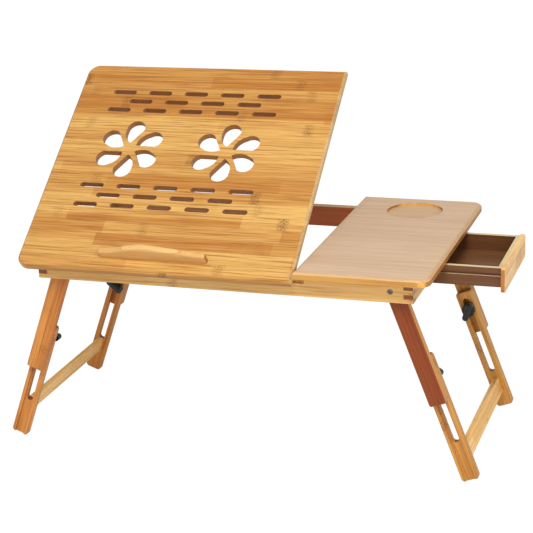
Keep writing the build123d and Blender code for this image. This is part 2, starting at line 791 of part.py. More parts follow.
def floor_groove():
    with BuildPart(mode=Mode.PRIVATE) as groove:
        with BuildSketch(Plane.XY.offset(z_floor)):
            with Locations((x_box + DRAWER_L / 2, 0)):
                Rectangle(DRAWER_L - 2 * END_T + 2 * FLOOR_IN, inner_w + 2 * FLOOR_IN)
        extrude(amount=FLOOR_T)
    return groove.part


def box_end(x):
    with BuildPart(mode=Mode.PRIVATE) as wall:
        with BuildSketch(Plane.XY.offset(z_box_low)):
            with Locations((x, 0)):
                Rectangle(END_T, inner_w, align=(Align.MIN, Align.CENTER))
        extrude(amount=DRAWER_H)
        add(floor_groove(), mode=Mode.SUBTRACT)
    return wall.part


with BuildPart() as drawer_box_front:
    add(box_end(x_panel - END_T))
    for y in PANEL_SCREWS:
        with BuildSketch(panel_plane(x_panel - END_T, y, z_box_top - DRAWER_H / 2, 1)):
            Circle(SCREW_R)
        extrude(amount=END_T, mode=Mode.SUBTRACT)

with BuildPart() as drawer_back:
    add(box_end(x_box))


def box_side(way):
    with BuildPart(mode=Mode.PRIVATE) as wall:
        with BuildSketch(Plane.XY.offset(z_box_low)):
            with Locations((x_box + DRAWER_L / 2, way * (DRAWER_W - WALL_T) / 2)):
                Rectangle(DRAWER_L, WALL_T)
        extrude(amount=DRAWER_H)
        add(floor_groove(), mode=Mode.SUBTRACT)
        with BuildSketch(Plane.XY.offset(z_top - TONGUE_DROP - RUN_GROOVE_H / 2)):
            with Locations((x_box + DRAWER_L / 2, way * (DRAWER_W - RUN_GROOVE_D) / 2)):
                Rectangle(DRAWER_L, RUN_GROOVE_D)
        extrude(amount=RUN_GROOVE_H, mode=Mode.SUBTRACT)
    return wall.part


with BuildPart() as drawer_side_front:
    add(box_side(FRONT))

with BuildPart() as drawer_side_rear:
    add(box_side(BACK))

with BuildPart() as drawer_bottom:
    add(floor_groove())

with BuildPart() as drawer_screws:
    for y in PANEL_SCREWS:
        seat = panel_plane(x_panel - END_T, y, z_box_top - DRAWER_H / 2, -1)
        with BuildSketch(seat):
            Circle(SCREW_HEAD_R)
        extrude(amount=SCREW_HEAD_T)
        with BuildSketch(seat):
            Circle(SCREW_R)
        extrude(amount=-END_T - PANEL_SCREW_IN)
        with BuildSketch(seat.offset(SCREW_HEAD_T)):
            Rectangle(2 * SCREW_HEAD_R, SCREW_SLOT)
        extrude(amount=-SCREW_SLOT, mode=Mode.SUBTRACT)


# ---------------------------------------------------------------- legs
y_leg = y_rail + RAIL_T + LEG_SIDE_GAP
lower_face = LEG_T + SLIDE_GAP
inner_face = lower_face + LEG_T
washer_face = inner_face + SLIDE_GAP / 2
knob_face = washer_face + WASHER_T + PIVOT_RUN


def leg_face(side, end):
    # side is LEFT or RIGHT; end is FRONT or BACK
    x_pivot = x_pivot_left if side == LEFT else x_pivot_right
    return leg_plane(x_pivot, side, end * -y_leg, -end)


def upper_leg(face):
    with BuildPart(mode=Mode.PRIVATE) as leg:
        with BuildSketch(face) as outline:
            Circle(LEG_W / 2)
            with Locations((UPPER_REACH / 2, 0)):
                Rectangle(UPPER_REACH, LEG_W)
            fillet(outline.vertices().group_by(Axis.X)[-1], UPPER_END_R)
        extrude(amount=LEG_T)
        fillet(leg.faces().filter_by(Axis.Y).edges(), ARRIS)
        with BuildSketch(face.offset(LEG_T)):
            with Locations(((TONGUE_TOP + UPPER_REACH) / 2, 0)):
                Rectangle(UPPER_REACH - TONGUE_TOP, GROOVE_W - 2 * SLIDE_GAP)
        extrude(amount=GROOVE_D)
        with BuildSketch(face):
            Circle(PIVOT_BOLT_R + PIVOT_RUN)
        extrude(amount=LEG_T, mode=Mode.SUBTRACT)
        with BuildSketch(face.offset(LEG_T)):
            Circle(PIVOT_HEAD_R + HEAD_GAP)
        extrude(amount=-PIVOT_HEAD_T - HEAD_GAP, mode=Mode.SUBTRACT)
        with BuildSketch(face.offset(LEG_T - CLAMP_IN)):
            with Locations((CLAMP_AT, 0)):
                Circle(CLAMP_R)
        extrude(amount=CLAMP_IN + GROOVE_D, mode=Mode.SUBTRACT)
    return leg.part


def lower_leg(side, end):
    face = leg_face(side, end)
    stretcher_at = STRETCHER_LEFT if side == LEFT else STRETCHER_RIGHT
    with BuildPart(mode=Mode.PRIVATE) as leg:
        with BuildSketch(face.offset(lower_face)) as outline:
            with Locations(((LOWER_TOP + LEG_REACH) / 2, 0)):
                Rectangle(LEG_REACH - LOWER_TOP, LEG_W)
            fillet(outline.vertices(), FOOT_R)
        extrude(amount=LEG_T)
        fillet(leg.faces().filter_by(Axis.Y).edges(), ARRIS)
        with BuildSketch(face.offset(lower_face)):
            with Locations(((LOWER_TOP + LEG_REACH) / 2, 0)):
                Rectangle(LEG_REACH - LOWER_TOP, GROOVE_W)
        extrude(amount=GROOVE_D, mode=Mode.SUBTRACT)
        with BuildSketch(face.offset(lower_face)):
            with Locations(((SLOT_TOP + SLOT_END) / 2, 0)):
                SlotOverall(SLOT_END - SLOT_TOP, SLOT_W)
        extrude(amount=LEG_T, mode=Mode.SUBTRACT)
        with BuildSketch(face.offset(inner_face)):
            with Locations((stretcher_at, 0)):
                SlotOverall(TENON_W, TENON_T)
        extrude(amount=-TENON_L, mode=Mode.SUBTRACT)
    return leg.part


def stretcher(side):
    face = leg_face(side, FRONT)
    stretcher_at = STRETCHER_LEFT if side == LEFT else STRETCHER_RIGHT
    span = 2 * (-y_leg - inner_face)
    with BuildPart(mode=Mode.PRIVATE) as bar:
        with BuildSketch(face.offset(inner_face)):
            with Locations((stretcher_at, 0)):
                Rectangle(STRETCHER_W, STRETCHER_T)
        extrude(amount=span)
        fillet(bar.edges().filter_by(Axis.Y), ARRIS)
        with BuildSketch(face.offset(inner_face - TENON_L + JOINT_GAP)):
            with Locations((stretcher_at, 0)):
                SlotOverall(TENON_W - 2 * JOINT_GAP, TENON_T - 2 * JOINT_GAP)
        extrude(amount=span + 2 * TENON_L - 2 * JOINT_GAP)
    return bar.part


with BuildPart() as left_front_upper_leg:
    add(upper_leg(leg_face(LEFT, FRONT)))

with BuildPart() as left_back_upper_leg:
    add(upper_leg(leg_face(LEFT, BACK)))

with BuildPart() as right_front_upper_leg:
    add(upper_leg(leg_face(RIGHT, FRONT)))

with BuildPart() as right_back_upper_leg:
    add(upper_leg(leg_face(RIGHT, BACK)))

with BuildPart() as left_front_lower_leg:
    add(lower_leg(LEFT, FRONT))

with BuildPart() as left_back_lower_leg:
    add(lower_leg(LEFT, BACK))

with BuildPart() as right_front_lower_leg:
    add(lower_leg(RIGHT, FRONT))

with BuildPart() as right_back_lower_leg:
    add(lower_leg(RIGHT, BACK))

with BuildPart() as left_stretcher:
    add(stretcher(LEFT))

with BuildPart() as right_stretcher:
    add(stretcher(RIGHT))


# ---------------------------------------------------------------- leg hardware
with BuildPart() as leg_pivot_bolts:
    for side in (LEFT, RIGHT):
        for end in (FRONT, BACK):
            face = leg_face(side, end)
            with BuildSketch(face.offset(LEG_T - PIVOT_HEAD_T)):
                Circle(PIVOT_HEAD_R)
            extrude(amount=PIVOT_HEAD_T)
            with BuildSketch(face.offset(LEG_T - PIVOT_HEAD_T)):
                Circle(PIVOT_BOLT_R)
            extrude(amount=-LEG_T + PIVOT_HEAD_T - LEG_SIDE_GAP - RAIL_T + NUT_RECESS_D - BOLT_IN_NUT)

with BuildPart() as leg_pivot_nuts:
    for side in (LEFT, RIGHT):
        for end in (FRONT, BACK):
            outer = leg_face(side, end).offset(-LEG_SIDE_GAP - RAIL_T + NUT_RECESS_D)
            with BuildSketch(outer):
                Circle(NUT_R)
            extrude(amount=-NUT_RECESS_D + NUT_STEP)
            with BuildSketch(outer):
                Circle(PIVOT_BOLT_R)
            extrude(amount=-BOLT_IN_NUT, mode=Mode.SUBTRACT)
            with BuildSketch(outer.offset(-NUT_RECESS_D + NUT_STEP)):
                RegularPolygon(NUT_HEX_R, 6)
            extrude(amount=NUT_HEX_D, mode=Mode.SUBTRACT)


def clamp_studs(side):
    with BuildPart(mode=Mode.PRIVATE) as studs:
        for end in (FRONT, BACK):
            with BuildSketch(leg_face(side, end).offset(LEG_T - CLAMP_IN)):
                with Locations((CLAMP_AT, 0)):
                    Circle(CLAMP_R)
            extrude(amount=knob_face + INSERT_L - STUD_SHORT - LEG_T + CLAMP_IN)
    return studs.part


def clamp_washers(side):
    with BuildPart(mode=Mode.PRIVATE) as washers:
        for end in (FRONT, BACK):
            with BuildSketch(leg_face(side, end).offset(washer_face)):
                with Locations((CLAMP_AT, 0)):
                    Circle(WASHER_R)
                    Circle(CLAMP_R + JOINT_GAP, mode=Mode.SUBTRACT)
            extrude(amount=WASHER_T)
    return washers.part


def wing_knob(side, end):
    face = leg_face(side, end).offset(knob_face)
    turn = WING_TURN_LEFT if side == LEFT else WING_TURN_RIGHT
    with BuildPart(mode=Mode.PRIVATE) as knob:
        with BuildSketch(face):
            with Locations((CLAMP_AT, 0)):
                Circle(KNOB_DISC_R)
        extrude(amount=KNOB_DISC_H)
        fillet(knob.faces().sort_by(Axis(face.origin, face.z_dir))[-1].edges(), KNOB_EDGE_R)
        with BuildSketch(face.offset(KNOB_DISC_H / 2)):
            with Locations(Location((CLAMP_AT, 0, 0), (0, 0, turn))):
                SlotOverall(KNOB_SPAN, KNOB_W)
        extrude(amount=KNOB_H - KNOB_DISC_H / 2)
        fillet(knob.faces().sort_by(Axis(face.origin, face.z_dir))[-1].edges(), WING_R)
        with BuildSketch(face):
            with Locations((CLAMP_AT, 0)):
                Circle(INSERT_R)
        extrude(amount=INSERT_L, mode=Mode.SUBTRACT)
    return knob.part


def knob_insert(side, end):
    face = leg_face(side, end).offset(knob_face)
    with BuildPart(mode=Mode.PRIVATE) as insert:
        with BuildSketch(face):
            with Locations((CLAMP_AT, 0)):
                Circle(INSERT_R)
                Circle(CLAMP_R + PIVOT_RUN, mode=Mode.SUBTRACT)
        extrude(amount=INSERT_L)
    return insert.part


with BuildPart() as left_clamp_studs:
    add(clamp_studs(LEFT))

with BuildPart() as right_clamp_studs:
    add(clamp_studs(RIGHT))

with BuildPart() as left_clamp_washers:
    add(clamp_washers(LEFT))

with BuildPart() as right_clamp_washers:
    add(clamp_washers(RIGHT))

with BuildPart() as left_front_knob:
    add(wing_knob(LEFT, FRONT))

with BuildPart() as left_back_knob:
    add(wing_knob(LEFT, BACK))

with BuildPart() as right_front_knob:
    add(wing_knob(RIGHT, FRONT))

with BuildPart() as right_back_knob:
    add(wing_knob(RIGHT, BACK))

with BuildPart() as left_front_knob_insert:
    add(knob_insert(LEFT, FRONT))

with BuildPart() as left_back_knob_insert:
    add(knob_insert(LEFT, BACK))

with BuildPart() as right_front_knob_insert:
    add(knob_insert(RIGHT, FRONT))

with BuildPart() as right_back_knob_insert:
    add(knob_insert(RIGHT, BACK))

# ---------------------------------------------------------------- export
front_rail.part.label = "front_rail"
export_step(front_rail.part, "parts/front_rail.step")

back_rail.part.label = "back_rail"
export_step(back_rail.part, "parts/back_rail.step")

left_side_rail.part.label = "left_side_rail"
export_step(left_side_rail.part, "parts/left_side_rail.step")

right_side_rail_front.part.label = "right_side_rail_front"
export_step(right_side_rail_front.part, "parts/right_side_rail_front.step")

right_side_rail_rear.part.label = "right_side_rail_rear"
export_step(right_side_rail_rear.part, "parts/right_side_rail_rear.step")

centre_rail.part.label = "centre_rail"
export_step(centre_rail.part, "parts/centre_rail.step")

front_drawer_runner.part.label = "front_drawer_runner"
export_step(front_drawer_runner.part, "parts/front_drawer_runner.step")

rear_drawer_runner.part.label = "rear_drawer_runner"
export_step(rear_drawer_runner.part, "parts/rear_drawer_runner.step")

side_board.part.label = "side_board"
export_step(side_board.part, "parts/side_board.step")

side_board_skin.part.label = "side_board_skin"
export_step(side_board_skin.part, "parts/side_board_skin.step")

notch_rack.part.label = "notch_rack"
export_step(notch_rack.part, "parts/notch_rack.step")

leg_pivot_bolts.part.label = "leg_pivot_bolts"
export_step(leg_pivot_bolts.part, "parts/leg_pivot_bolts.step")

leg_pivot_nuts.part.label = "leg_pivot_nuts"
export_step(leg_pivot_nuts.part, "parts/leg_pivot_nuts.step")

hinge_rail_leaves.part.label = "hinge_rail_leaves"
export_step(hinge_rail_leaves.part, "parts/hinge_rail_leaves.step")

hinge_pins.part.label = "hinge_pins"
export_step(hinge_pins.part, "parts/hinge_pins.step")

hinge_rail_screws.part.label = "hinge_rail_screws"
export_step(hinge_rail_screws.part, "parts/hinge_rail_screws.step")

rack_dowels.part.label = "rack_dowels"
export_step(rack_dowels.part, "parts/rack_dowels.step")

tilt_board.part.label = "tilt_board"
export_step(tilt_board.part, "parts/tilt_board.step")

book_stop.part.label = "book_stop"
export_step(book_stop.part, "parts/book_stop.step")

book_stop_screws.part.label = "book_stop_screws"
export_step(book_stop_screws.part, "parts/book_stop_screws.step")

hinge_board_leaves.part.label = "hinge_board_leaves"
export_step(hinge_board_leaves.part, "parts/hinge_board_leaves.step")

hinge_board_screws.part.label = "hinge_board_screws"
export_step(hinge_board_screws.part, "parts/hinge_board_screws.step")

prop_brackets.part.label = "prop_brackets"
export_step(prop_brackets.part, "parts/prop_brackets.step")

prop_bracket_screws.part.label = "prop_bracket_screws"
export_step(prop_bracket_screws.part, "parts/prop_bracket_screws.step")

tilt_prop.part.label = "tilt_prop"
export_step(tilt_prop.part, "parts/tilt_prop.step")

drawer_front_panel.part.label = "drawer_front_panel"
export_step(drawer_front_panel.part, "parts/drawer_front_panel.step")

drawer_box_front.part.label = "drawer_box_front"
export_step(drawer_box_front.part, "parts/drawer_box_front.step")

drawer_side_front.part.label = "drawer_side_front"
export_step(drawer_side_front.part, "parts/drawer_side_front.step")

drawer_side_rear.part.label = "drawer_side_rear"
export_step(drawer_side_rear.part, "parts/drawer_side_rear.step")

drawer_back.part.label = "drawer_back"
export_step(drawer_back.part, "parts/drawer_back.step")

drawer_bottom.part.label = "drawer_bottom"
export_step(drawer_bottom.part, "parts/drawer_bottom.step")

drawer_screws.part.label = "drawer_screws"
export_step(drawer_screws.part, "parts/drawer_screws.step")

left_front_upper_leg.part.label = "left_front_upper_leg"
export_step(left_front_upper_leg.part, "parts/left_front_upper_leg.step")

left_back_upper_leg.part.label = "left_back_upper_leg"
export_step(left_back_upper_leg.part, "parts/left_back_upper_leg.step")

right_front_upper_leg.part.label = "right_front_upper_leg"
export_step(right_front_upper_leg.part, "parts/right_front_upper_leg.step")

right_back_upper_leg.part.label = "right_back_upper_leg"
export_step(right_back_upper_leg.part, "parts/right_back_upper_leg.step")

left_front_lower_leg.part.label = "left_front_lower_leg"
export_step(left_front_lower_leg.part, "parts/left_front_lower_leg.step")

left_back_lower_leg.part.label = "left_back_lower_leg"
export_step(left_back_lower_leg.part, "parts/left_back_lower_leg.step")

right_front_lower_leg.part.label = "right_front_lower_leg"
export_step(right_front_lower_leg.part, "parts/right_front_lower_leg.step")

right_back_lower_leg.part.label = "right_back_lower_leg"
export_step(right_back_lower_leg.part, "parts/right_back_lower_leg.step")

left_stretcher.part.label = "left_stretcher"
export_step(left_stretcher.part, "parts/left_stretcher.step")

right_stretcher.part.label = "right_stretcher"
export_step(right_stretcher.part, "parts/right_stretcher.step")

left_clamp_studs.part.label = "left_clamp_studs"
export_step(left_clamp_studs.part, "parts/left_clamp_studs.step")

right_clamp_studs.part.label = "right_clamp_studs"
export_step(right_clamp_studs.part, "parts/right_clamp_studs.step")

left_clamp_washers.part.label = "left_clamp_washers"
export_step(left_clamp_washers.part, "parts/left_clamp_washers.step")

right_clamp_washers.part.label = "right_clamp_washers"
export_step(right_clamp_washers.part, "parts/right_clamp_washers.step")

left_front_knob.part.label = "left_front_knob"
export_step(left_front_knob.part, "parts/left_front_knob.step")

left_back_knob.part.label = "left_back_knob"
export_step(left_back_knob.part, "parts/left_back_knob.step")

right_front_knob.part.label = "right_front_knob"
export_step(right_front_knob.part, "parts/right_front_knob.step")

right_back_knob.part.label = "right_back_knob"
export_step(right_back_knob.part, "parts/right_back_knob.step")

left_front_knob_insert.part.label = "left_front_knob_insert"
export_step(left_front_knob_insert.part, "parts/left_front_knob_insert.step")

left_back_knob_insert.part.label = "left_back_knob_insert"
export_step(left_back_knob_insert.part, "parts/left_back_knob_insert.step")

right_front_knob_insert.part.label = "right_front_knob_insert"
export_step(right_front_knob_insert.part, "parts/right_front_knob_insert.step")

right_back_knob_insert.part.label = "right_back_knob_insert"
export_step(right_back_knob_insert.part, "parts/right_back_knob_insert.step")
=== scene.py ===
import json
import math

import bpy
from mathutils import Matrix, Vector


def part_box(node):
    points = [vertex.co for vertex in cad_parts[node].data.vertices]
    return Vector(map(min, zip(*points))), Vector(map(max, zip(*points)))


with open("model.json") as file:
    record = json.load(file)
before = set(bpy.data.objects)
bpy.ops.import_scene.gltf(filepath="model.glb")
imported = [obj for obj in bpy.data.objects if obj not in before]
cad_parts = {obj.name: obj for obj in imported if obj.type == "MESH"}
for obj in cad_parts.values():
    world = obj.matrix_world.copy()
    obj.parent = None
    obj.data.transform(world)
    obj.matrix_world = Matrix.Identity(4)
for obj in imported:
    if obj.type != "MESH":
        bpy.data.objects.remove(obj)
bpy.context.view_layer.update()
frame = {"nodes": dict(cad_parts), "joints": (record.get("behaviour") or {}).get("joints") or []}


nodes = frame["nodes"]
MM = 0.001


# ------------------------------------------------------------------ places from the frame
def rounded(place):
    """A place from the frame in metres, to a hundredth of a millimetre."""
    return [round(value, 5) for value in place]


side_low, side_high = [rounded(corner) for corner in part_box("side_board")]
tilt_low, tilt_high = [rounded(corner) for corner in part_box("tilt_board")]
rail_low = rounded(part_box("front_rail")[0])
joints = {joint["name"]: joint for joint in frame["joints"]}

X_SIDE = side_low[0]
Y_FRONT = side_low[1]
Z_TOP = side_high[2]
DEPTH = side_high[1] - side_low[1]
TILT_WIDTH = tilt_high[0] - tilt_low[0]
TILT_SETBACK = 1.6 * MM

# the legs lean outwards, and the board is raised by as much as its hinges can let it down
LEAN = math.radians(20.4)
TILT = math.radians(joints["board_tilt"]["range_deg"][1])
AXIS = Vector([0.0] + rounded(joints["board_tilt"]["pos_m"])[1:])
LEFT_PIVOT = Vector(rounded(joints["left_leg_fold"]["pos_m"]))
RIGHT_PIVOT = Vector(rounded(joints["right_leg_fold"]["pos_m"]))

X = Vector((1, 0, 0))
Y = Vector((0, 1, 0))
Z = Vector((0, 0, 1))
ALONG = Vector((0, math.cos(TILT), math.sin(TILT)))
OUT = Vector((0, -math.sin(TILT), math.cos(TILT)))

# the corners that the grain is measured from; the tilting board's turns with it about the hinges
SIDE_CORNER = Vector((X_SIDE, Y_FRONT, Z_TOP))
RAIL_CORNER = Vector((rail_low[0], Y_FRONT, rail_low[2]))
TILT_CORNER = AXIS + ALONG * (TILT_SETBACK + Y_FRONT - AXIS.y) + OUT * (Z_TOP - AXIS.z)
TILT_CORNER.x = tilt_low[0]


# ------------------------------------------------------------------ node helpers
def linear(hex_text):
    """A colour written as six hex digits, as the linear colour that a shader takes."""
    values = []
    for i in (0, 2, 4):
        c = int(hex_text[i:i + 2], 16) / 255
        values.append(c / 12.92 if c <= 0.04045 else ((c + 0.055) / 1.055) ** 2.4)
    return tuple(values) + (1.0,)


def shade(color, factor, lift=0.0):
    """A linear colour made darker or lighter."""
    return tuple(c * factor + lift for c in color[:3]) + (1.0,)


class Net:
    """One material and the calls that add nodes to it."""

    def __init__(self, name):
        self.mat = bpy.data.materials.new(name)
        self.mat.use_nodes = True
        self.tree = self.mat.node_tree
        self.shader = self.tree.nodes["Principled BSDF"]
        self.coords = self.node("ShaderNodeTexCoord")

    def node(self, kind, **props):
        made = self.tree.nodes.new(kind)
        for key, value in props.items():
            setattr(made, key, value)
        return made

    def put(self, socket, value):
        """Links an output to a socket, or writes a plain value in it."""
        if isinstance(value, bpy.types.NodeSocket):
            self.tree.links.new(value, socket)
        else:
            socket.default_value = value

    def surface(self, values):
        """Sets inputs of the shader by their names."""
        for key, value in values.items():
            self.put(self.shader.inputs[key], value)

    def math(self, op, a, b=0.0, c=0.0, clamp=False):
        made = self.node("ShaderNodeMath", operation=op, use_clamp=clamp)
        self.put(made.inputs[0], a)
        self.put(made.inputs[1], b)
        self.put(made.inputs[2], c)
        return made.outputs[0]

    def add(self, a, b, clamp=False):
        return self.math("ADD", a, b, clamp=clamp)

    def times(self, a, b):
        return self.math("MULTIPLY", a, b)

    def count(self, value, step):
        """How many whole steps a value holds."""
        return self.math("FLOOR", self.math("DIVIDE", value, step))

    def turn(self, value, step):
        """How far a value is into its step, from 0 to 1."""
        return self.math("FRACT", self.math("DIVIDE", value, step))

    def off_middle(self, turn):
        """How far a value from 0 to 1 is from the middle."""
        return self.math("ABSOLUTE", self.math("SUBTRACT", turn, 0.5))

    def spread(self, value, amount):
        """Turns a value from 0 to 1 into one from -amount / 2 to amount / 2."""
        return self.times(self.math("SUBTRACT", value, 0.5), amount)

    def smooth(self, value, low, high, out_low=0.0, out_high=1.0):
        """A soft step between two values. The step falls where low is over high."""
        made = self.node("ShaderNodeMapRange", interpolation_type="SMOOTHSTEP")
        for socket, v in zip(made.inputs, (value, low, high, out_low, out_high)):
            self.put(socket, v)
        return made.outputs[0]

    def vector(self, x, y, z):
        made = self.node("ShaderNodeCombineXYZ")
        for socket, v in zip(made.inputs, (x, y, z)):
            self.put(socket, v)
        return made.outputs[0]

    def noise(self, vector, scale=1.0, detail=2.0, rough=0.5, warp=0.0):
        made = self.node("ShaderNodeTexNoise")
        self.put(made.inputs["Vector"], vector)
        made.inputs["Scale"].default_value = scale
        made.inputs["Detail"].default_value = detail
        made.inputs["Roughness"].default_value = rough
        made.inputs["Distortion"].default_value = warp
        return made.outputs["Fac"]

    def random(self, value):
        made = self.node("ShaderNodeTexWhiteNoise", noise_dimensions="1D")
        self.put(made.inputs["W"], value)
        return made.outputs["Value"]

    def mix(self, fac, a, b):
        made = self.node("ShaderNodeMix", data_type="RGBA")
        self.put(made.inputs["Factor"], fac)
        self.put(made.inputs[6], a)
        self.put(made.inputs[7], b)
        return made.outputs[2]

    def mix_shaders(self, fac, a, b):
        made = self.node("ShaderNodeMixShader")
        for socket, value in zip(made.inputs, (fac, a, b)):
            self.put(socket, value)
        return made.outputs[0]

    def toward(self, direction):
        """How far the surface faces one way: 1 straight on, -1 away."""
        made = self.node("ShaderNodeVectorMath", operation="DOT_PRODUCT")
        self.put(made.inputs[0], self.coords.outputs["Normal"])
        made.inputs[1].default_value = direction.normalized()
        return made.outputs["Value"]

    def set_grain(self, grain, across, origin):
        """Sets u along the grain, v across it and w through it, in metres from the origin."""
        normal = grain.cross(across).normalized()
        rows = Matrix((grain.normalized(), across.normalized(), normal))
        mapping = self.node("ShaderNodeMapping", vector_type="POINT")
        self.put(mapping.inputs["Vector"], self.coords.outputs["Object"])
        mapping.inputs["Rotation"].default_value = rows.to_euler("XYZ")
        mapping.inputs["Location"].default_value = -(rows @ origin)
        split = self.node("ShaderNodeSeparateXYZ")
        self.put(split.inputs[0], mapping.outputs[0])
        self.u, self.v, self.w = split.outputs
        self.end_facing = self.math("ABSOLUTE", self.toward(grain))
        self.flat_facing = self.math("ABSOLUTE", self.toward(normal))

    def streaks(self, u, along, across, detail, rough, warp=0.0):
        """Noise drawn out along the grain: counts per metre along and across it."""
        place = self.vector(self.times(u, along), self.times(self.v, across), self.times(self.w, across))
        return self.noise(place, detail=detail, rough=rough, warp=warp)

    def finish_surface(self, height, strength, distance, edge_radius):
        """Bumps the surface and softens its edges."""
        soft = self.node("ShaderNodeBevel", samples=4)
        soft.inputs["Radius"].default_value = edge_radius
        bump = self.node("ShaderNodeBump")
        bump.inputs["Strength"].default_value = strength
        bump.inputs["Distance"].default_value = distance
        self.put(bump.inputs["Height"], height)
        self.put(bump.inputs["Normal"], soft.outputs[0])
        self.surface({"Normal": bump.outputs[0]})


# ------------------------------------------------------------------ bamboo
# uneven steps that give each strip, layer and length a random number of its own
ROW_STEP = 7.31
LAYER_STEP = 3.17
PIECE_STEP = 1.93
MARK_STEP = 3.71
SHIFT_STEP = 51.7

GLUE_WIDTH = 0.5 * MM
GLUE_DEPTH = 0.35


def plank_tone(net, planks, width):
    """The tone of wide boards glued side by side: planks gives each one's edge and tone."""
    ramp = net.node("ShaderNodeValToRGB")
    ramp.color_ramp.interpolation = "CONSTANT"
    net.put(ramp.inputs[0], net.math("DIVIDE", net.v, width))
    stops = ramp.color_ramp.elements
    stops.remove(stops[-1])
    for number, (edge, tone) in enumerate(planks):
        stop = stops[0] if number == 0 else stops.new(edge / width)
        stop.position = edge / width
        stop.color = (tone, tone, tone, 1)
    return ramp.outputs[0]


def cane_marks(net, u, seed, gap, strength):
    """The nodes of the cane, as speckled patches across a strip, one for each gap."""
    waves = net.noise(net.vector(net.times(net.u, 3.0), net.times(net.v, 90.0), seed))
    turn = net.turn(net.add(u, net.spread(waves, 12 * MM)), gap)
    away = net.times(net.off_middle(turn), gap)
    speck = net.streaks(net.u, along=420.0, across=560.0, detail=3.0, rough=0.8)
    patch = net.times(net.smooth(away, 3 * MM, 9.5 * MM, 1.0, 0.0), net.smooth(speck, 0.45, 0.56))
    core = net.times(net.smooth(away, 0.4 * MM, 2.2 * MM, 0.8, 0.0), net.smooth(speck, 0.36, 0.56))
    mark = net.times(net.math("MAXIMUM", core, patch), net.math("SUBTRACT", 1.0, net.end_facing))
    return net.times(mark, strength)


def opening_walls(net, margin, u_size, v_size):
    """Where a surface stands across a sheet of this size, more than the margin inside its edges."""
    inside = net.times(net.smooth(net.u, margin, margin + MM),
                       net.smooth(net.u, u_size - margin - MM, u_size - margin, 1.0, 0.0))
    inside = net.times(inside, net.smooth(net.v, margin, margin + MM))
    inside = net.times(inside, net.smooth(net.v, v_size - margin - MM, v_size - margin, 1.0, 0.0))
    return net.times(inside, net.smooth(net.flat_facing, 0.3, 0.6, 0.8, 0.0))


def bamboo(name, grain, across, origin, tones, strip=0.0205, layer=1.0, seed=0.0, node_gap=0.31, marks=0.5,
           streak=0.5, tone_spread=0.7, length=0.37, gloss=0.34, planks=None, width=1.0, faces=(), cut=None):
    """Glued strips of bamboo.

    tones are the light, the dark, the fibres' and the cane marks' tone, and each length of a strip has
    its own between the first two. strip, layer and length are a strip's size across, through and along
    the grain. planks gives wide boards a tone each. faces gives single faces a tone of their own, a stain
    on some parts and painted shade and light on others: direction, tone, share. cut paints shade on the
    walls of openings: margin, size along the grain, size across it, shade tone."""
    light, deep, fibre, brown = [linear(tone) for tone in tones]
    net = Net(name)
    net.set_grain(grain, across, origin)
    row = net.times(net.count(net.v, strip), ROW_STEP)
    stack = net.times(net.count(net.w, layer), LAYER_STEP)
    key = net.add(row, net.add(stack, seed))
    shifted = net.add(net.u, net.random(net.add(key, SHIFT_STEP)))
    piece = net.count(shifted, length)
    pick = net.random(net.add(key, net.times(piece, PIECE_STEP)))

    # a tone for each piece, with clouds and bands over it
    bands = net.streaks(shifted, along=4.0, across=110.0, detail=2.0, rough=0.5, warp=0.3)
    cloud = net.noise(net.vector(net.times(shifted, 9.0), net.times(net.v, 25.0), seed + 4.0))
    tone = plank_tone(net, planks, width) if planks else 0.5
    tone = net.add(net.spread(pick, tone_spread), tone)
    tone = net.add(tone, net.spread(cloud, 0.5))
    tone = net.add(tone, net.spread(bands, 1.1), clamp=True)
    color = net.mix(tone, light, deep)

    # dark and light fibres
    fine = net.streaks(shifted, along=22.0, across=1300.0, detail=4.0, rough=0.7)
    broad = net.streaks(shifted, along=9.0, across=420.0, detail=3.0, rough=0.62, warp=0.3)
    dark = net.add(net.times(net.smooth(fine, 0.40, 0.70), streak * 0.7),
                   net.times(net.smooth(broad, 0.47, 0.68), streak), clamp=True)
    color = net.mix(dark, color, fibre)
    color = net.mix(net.times(net.smooth(broad, 0.46, 0.30), streak * 0.5), color, light)

    strength = net.smooth(net.random(net.add(key, net.times(piece, MARK_STEP))), 0.1, 0.9, 0.2, 1.0)
    mark = net.times(cane_marks(net, shifted, seed, node_gap, strength), marks)
    color = net.mix(mark, color, brown)
    edge = net.off_middle(net.turn(net.v, strip))
    glue = net.smooth(edge, 0.5 - GLUE_WIDTH / strip, 0.5, 0.0, GLUE_DEPTH)
    color = net.mix(glue, color, brown)

    # end grain, faces with a tone of their own, which is a stain on some parts and painted shade and light
    # on others, and painted shade on the walls of openings
    dots = net.noise(net.vector(seed, net.times(net.v, 1500.0), net.times(net.w, 1500.0)), rough=0.6)
    end_color = net.mix(net.smooth(dots, 0.42, 0.60), fibre, brown)
    color = net.mix(net.smooth(net.end_facing, 0.6, 0.85, 0.0, 0.9), color, end_color)
    lines = net.add(net.times(dark, 0.6), net.times(tone, 0.4), clamp=True)
    for direction, face_tone, share in faces:
        face_color = linear(face_tone)
        faced = net.smooth(net.toward(direction), 0.55, 0.8, 0.0, share)
        color = net.mix(faced, color, net.mix(lines, face_color, shade(face_color, 0.45)))
    # the walls of openings get a painted shade
    if cut:
        margin, u_size, v_size, slot_shade_tone = cut
        color = net.mix(opening_walls(net, margin, u_size, v_size), color, linear(slot_shade_tone))

    net.surface({"Base Color": color, "Roughness": net.math("MULTIPLY_ADD", fine, 0.16, gloss),
                 "Coat Weight": 0.1, "Coat Roughness": 0.25, "Specular IOR Level": 0.25})
    grooves = net.times(net.add(glue, mark), 1.2)
    net.finish_surface(net.math("SUBTRACT", fine, grooves), 0.35, 0.2 * MM, 0.5 * MM)
    return net.mat


